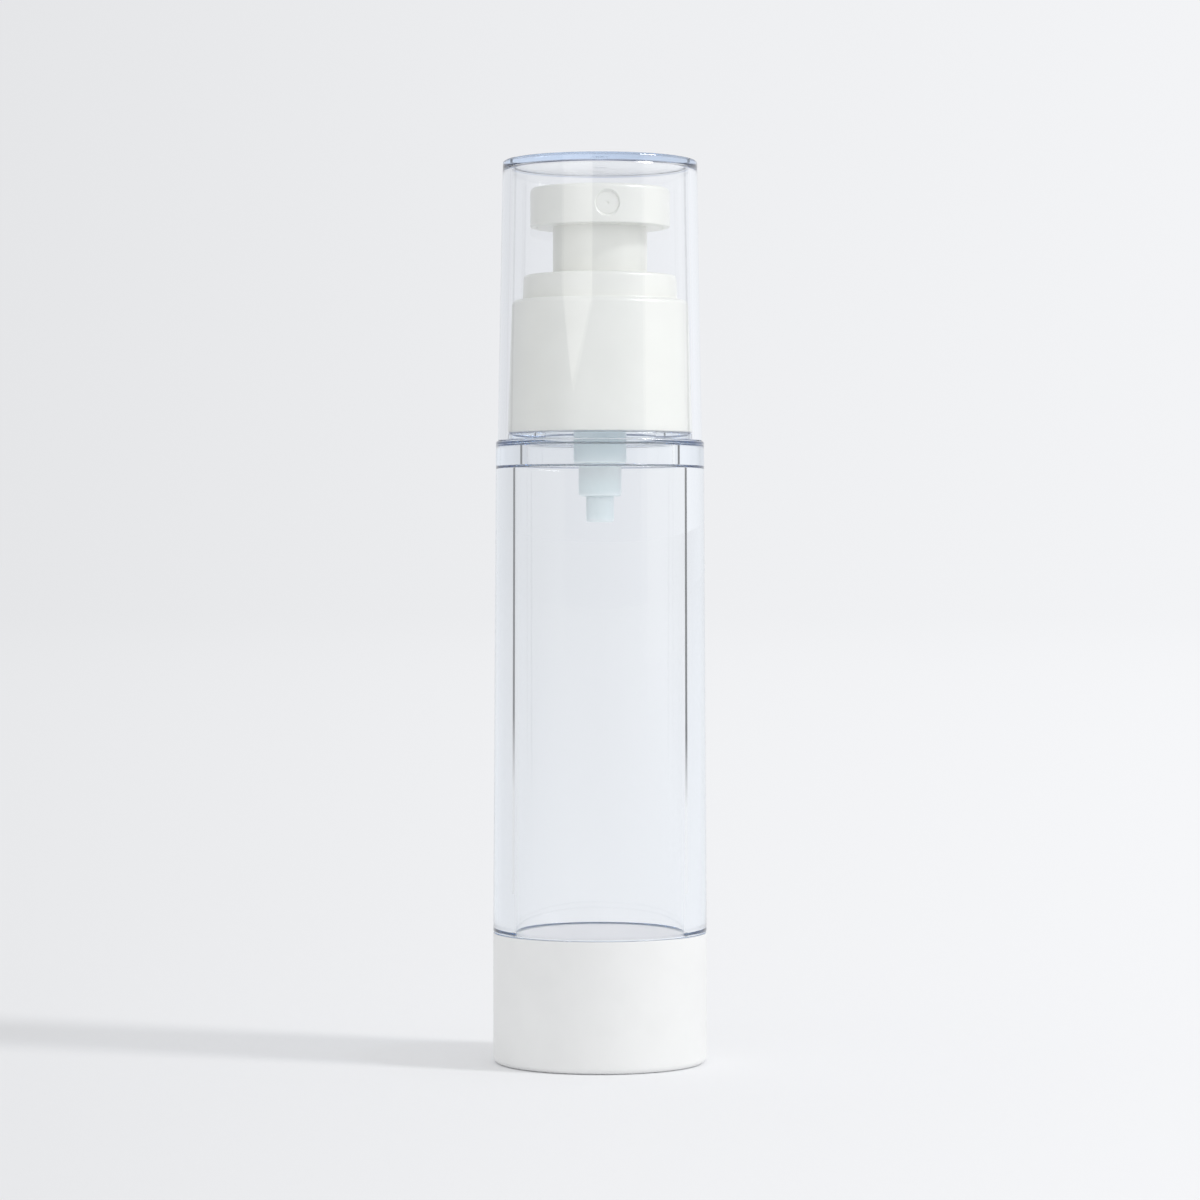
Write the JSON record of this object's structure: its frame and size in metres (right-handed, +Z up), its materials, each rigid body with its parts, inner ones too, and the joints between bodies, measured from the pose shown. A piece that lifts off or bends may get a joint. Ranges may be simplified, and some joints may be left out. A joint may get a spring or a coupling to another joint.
{
  "type": "airless pump bottle",
  "caption": "Clear airless pump bottle with a white base cup, a white press pump and a clear overcap",
  "frame": {"origin": "centre of the base's footprint on the ground", "axes": "+Z up along the bottle's axis, the nozzle facing -Y"},
  "size_m": [0.034, 0.034, 0.1434],
  "materials": {
    "clear_plastic": "clear, polished",
    "white_gloss": "glossy white",
    "white_satin": "satin white",
    "natural_plastic": "natural, milky",
    "soft_plastic": "soft, pale, satin",
    "seal_rubber": "soft, pale",
    "steel": "bright"
  },
  "bodies": {
    "container": {"bottle": "clear_plastic", "base_cup": "white_satin"},
    "follower": {"follower_piston": "soft_plastic"},
    "pump_core": {"pump_housing": "natural_plastic", "housing_cap": "natural_plastic", "neck_gasket": "seal_rubber", "ball_retainer": "natural_plastic", "return_spring": "steel"},
    "closure": {"threaded_closure": "white_satin", "shoulder_sleeve": "white_gloss"},
    "overcap": {"overcap": "clear_plastic"},
    "inlet_valve": {"inlet_ball": "steel"},
    "plunger": {"stem": "natural_plastic", "piston_rod": "natural_plastic"},
    "piston": {"pump_piston": "soft_plastic"},
    "head": {"actuator_core": "white_gloss", "button_shell": "white_gloss", "nozzle_insert": "white_gloss"}
  },
  "joints": [
    {"name": "follower_rise", "type": "slide", "parent": "container", "child": "follower", "axis": [0, 0, 1], "range_m": [0, 0.0648]},
    {"name": "pump_lift", "type": "slide", "parent": "container", "child": "pump_core", "axis": [0, 0, 1], "range_m": [0, 0.00451]},
    {"name": "closure_turn", "type": "hinge", "parent": "pump_core", "child": "closure", "pos_m": [0, 0, 0.1], "axis": [0, 0, 1], "range_deg": [0, 540]},
    {"name": "cap_lift", "type": "slide", "parent": "closure", "child": "overcap", "axis": [0, 0, 1], "range_m": [0, 0.046]},
    {"name": "actuator_press", "type": "slide", "parent": "pump_core", "child": "plunger", "axis": [0, 0, -1], "range_m": [0, 0.006], "stiffness_N_per_m": 1500, "springref_m": -0.004, "deforming": ["return_spring"]},
    {"name": "piston_shift", "type": "slide", "parent": "plunger", "child": "piston", "axis": [0, 0, 1], "range_m": [0, 0.0005]},
    {"name": "head_swivel", "type": "hinge", "parent": "plunger", "child": "head", "pos_m": [0, 0, 0.13], "axis": [0, 0, 1], "continuous": true},
    {"name": "ball_lift", "type": "slide", "parent": "pump_core", "child": "inlet_valve", "axis": [0, 0, 1], "range_m": [0, 0.0008]}
  ],
  "couplings": [
    {"joint": "pump_lift", "follows": "closure_turn", "m_per_rad": 0.00047746}
  ]
}
